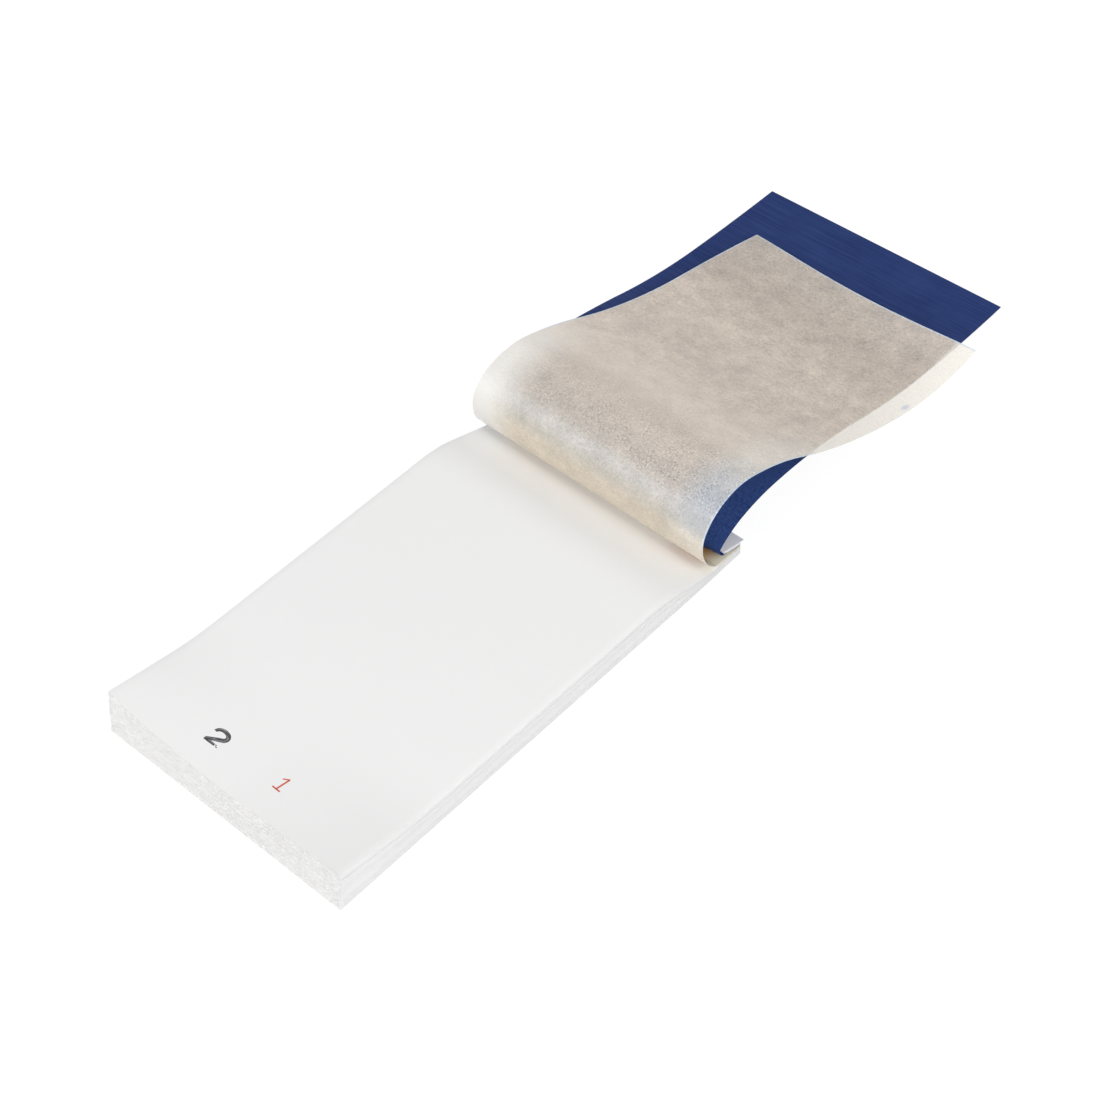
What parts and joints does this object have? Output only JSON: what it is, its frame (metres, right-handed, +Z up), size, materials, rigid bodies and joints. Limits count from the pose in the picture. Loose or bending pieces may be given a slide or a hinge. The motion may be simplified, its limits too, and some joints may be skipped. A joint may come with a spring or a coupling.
{
  "type": "duplicate order pad",
  "caption": "Stapled pad of plain numbered slips with copying tissues and blue carbons; the used set is rolled back over the binding and unrolls over the next slip.",
  "frame": {"origin": "middle of the backing board's flat underside, on the surface that the pad lies on", "axes": "+Y along the slips towards the stapled binding (the tops of the numerals), +X across the slips to the right, +Z up"},
  "size_m": [0.0861, 0.2551, 0.0286],
  "materials": {
    "paper": "matt uncoated paper",
    "numbered_slip": "matt uncoated paper, printed number in grey-black and red",
    "copying_tissue": "thin translucent unsized tissue, slightly glossy",
    "carbon": "waxy blue carbon coating, fine streaks across",
    "board": "plain greyboard",
    "staple_wire": "bright drawn wire"
  },
  "bodies": {
    "pad": {"backing_board": "board", "sets_25_to_26": "paper", "sets_23_to_24": "paper", "sets_21_to_22": "paper", "sets_19_to_20": "paper", "sets_17_to_18": "paper", "sets_15_to_16": "paper", "sets_13_to_14": "paper", "sets_11_to_12": "paper", "sets_09_to_10": "paper", "sets_07_to_08": "paper", "sets_05_to_06": "paper", "sets_03_to_04": "paper", "duplicate_2": "copying_tissue", "original_2": "numbered_slip", "duplicate_1_bound_edge": "copying_tissue", "carbon_bound_edge": "carbon", "original_1_stub": "paper", "staple_left": "staple_wire", "staple_right": "staple_wire"},
    "duplicate_1_roll_1": {"duplicate_1_roll_1": "copying_tissue"},
    "duplicate_1_roll_2": {"duplicate_1_roll_2": "copying_tissue"},
    "duplicate_1_roll_3": {"duplicate_1_roll_3": "copying_tissue"},
    "duplicate_1_leaf": {"duplicate_1_leaf": "copying_tissue"},
    "carbon_roll_1": {"carbon_roll_1": "carbon"},
    "carbon_roll_2": {"carbon_roll_2": "carbon"},
    "carbon_leaf": {"carbon_leaf": "carbon"}
  },
  "joints": [
    {"name": "sheets_turn_back", "type": "hinge", "parent": "pad", "child": "duplicate_1_roll_1", "pos_m": [0, 0.06072, 0.00355], "axis": [1, 0.0002, 0.0019], "range_deg": [0, 32.9]},
    {"name": "duplicate_1_roll_2_fold", "type": "hinge", "parent": "duplicate_1_roll_1", "child": "duplicate_1_roll_2", "pos_m": [0, 0.05495, 0.01356], "axis": [1, -0.0009, 0.0041], "range_deg": [0, 74.3]},
    {"name": "duplicate_1_roll_3_fold", "type": "hinge", "parent": "duplicate_1_roll_2", "child": "duplicate_1_roll_3", "pos_m": [0.00052, 0.06021, 0.02415], "axis": [0.9994, -0.0267, 0.0197], "range_deg": [0, 55.5]},
    {"name": "duplicate_1_leaf_fold", "type": "hinge", "parent": "duplicate_1_roll_3", "child": "duplicate_1_leaf", "pos_m": [0.0013, 0.07247, 0.02667], "axis": [0.9984, -0.0346, 0.044], "range_deg": [0, 27.9]},
    {"name": "carbon_roll_1_fold", "type": "hinge", "parent": "pad", "child": "carbon_roll_1", "pos_m": [0, 0.06052, 0.00562], "axis": [1, 0.0035, 0.0034], "range_deg": [0, 82]},
    {"name": "carbon_roll_2_fold", "type": "hinge", "parent": "carbon_roll_1", "child": "carbon_roll_2", "pos_m": [-0.00025, 0.06891, 0.01474], "axis": [0.9987, 0.0416, -0.0302], "range_deg": [0, 84.3]},
    {"name": "carbon_leaf_fold", "type": "hinge", "parent": "carbon_roll_2", "child": "carbon_leaf", "pos_m": [-0.00056, 0.08069, 0.01634], "axis": [0.9984, 0.0442, -0.0344], "range_deg": [0, 21]}
  ],
  "couplings": [
    {"joint": "duplicate_1_roll_2_fold", "follows": "sheets_turn_back", "ratio": 2.2584},
    {"joint": "duplicate_1_roll_3_fold", "follows": "sheets_turn_back", "ratio": 1.6869},
    {"joint": "duplicate_1_leaf_fold", "follows": "sheets_turn_back", "ratio": 0.84802},
    {"joint": "carbon_roll_1_fold", "follows": "sheets_turn_back", "ratio": 2.4924},
    {"joint": "carbon_roll_2_fold", "follows": "sheets_turn_back", "ratio": 2.5623},
    {"joint": "carbon_leaf_fold", "follows": "sheets_turn_back", "ratio": 0.6383}
  ]
}
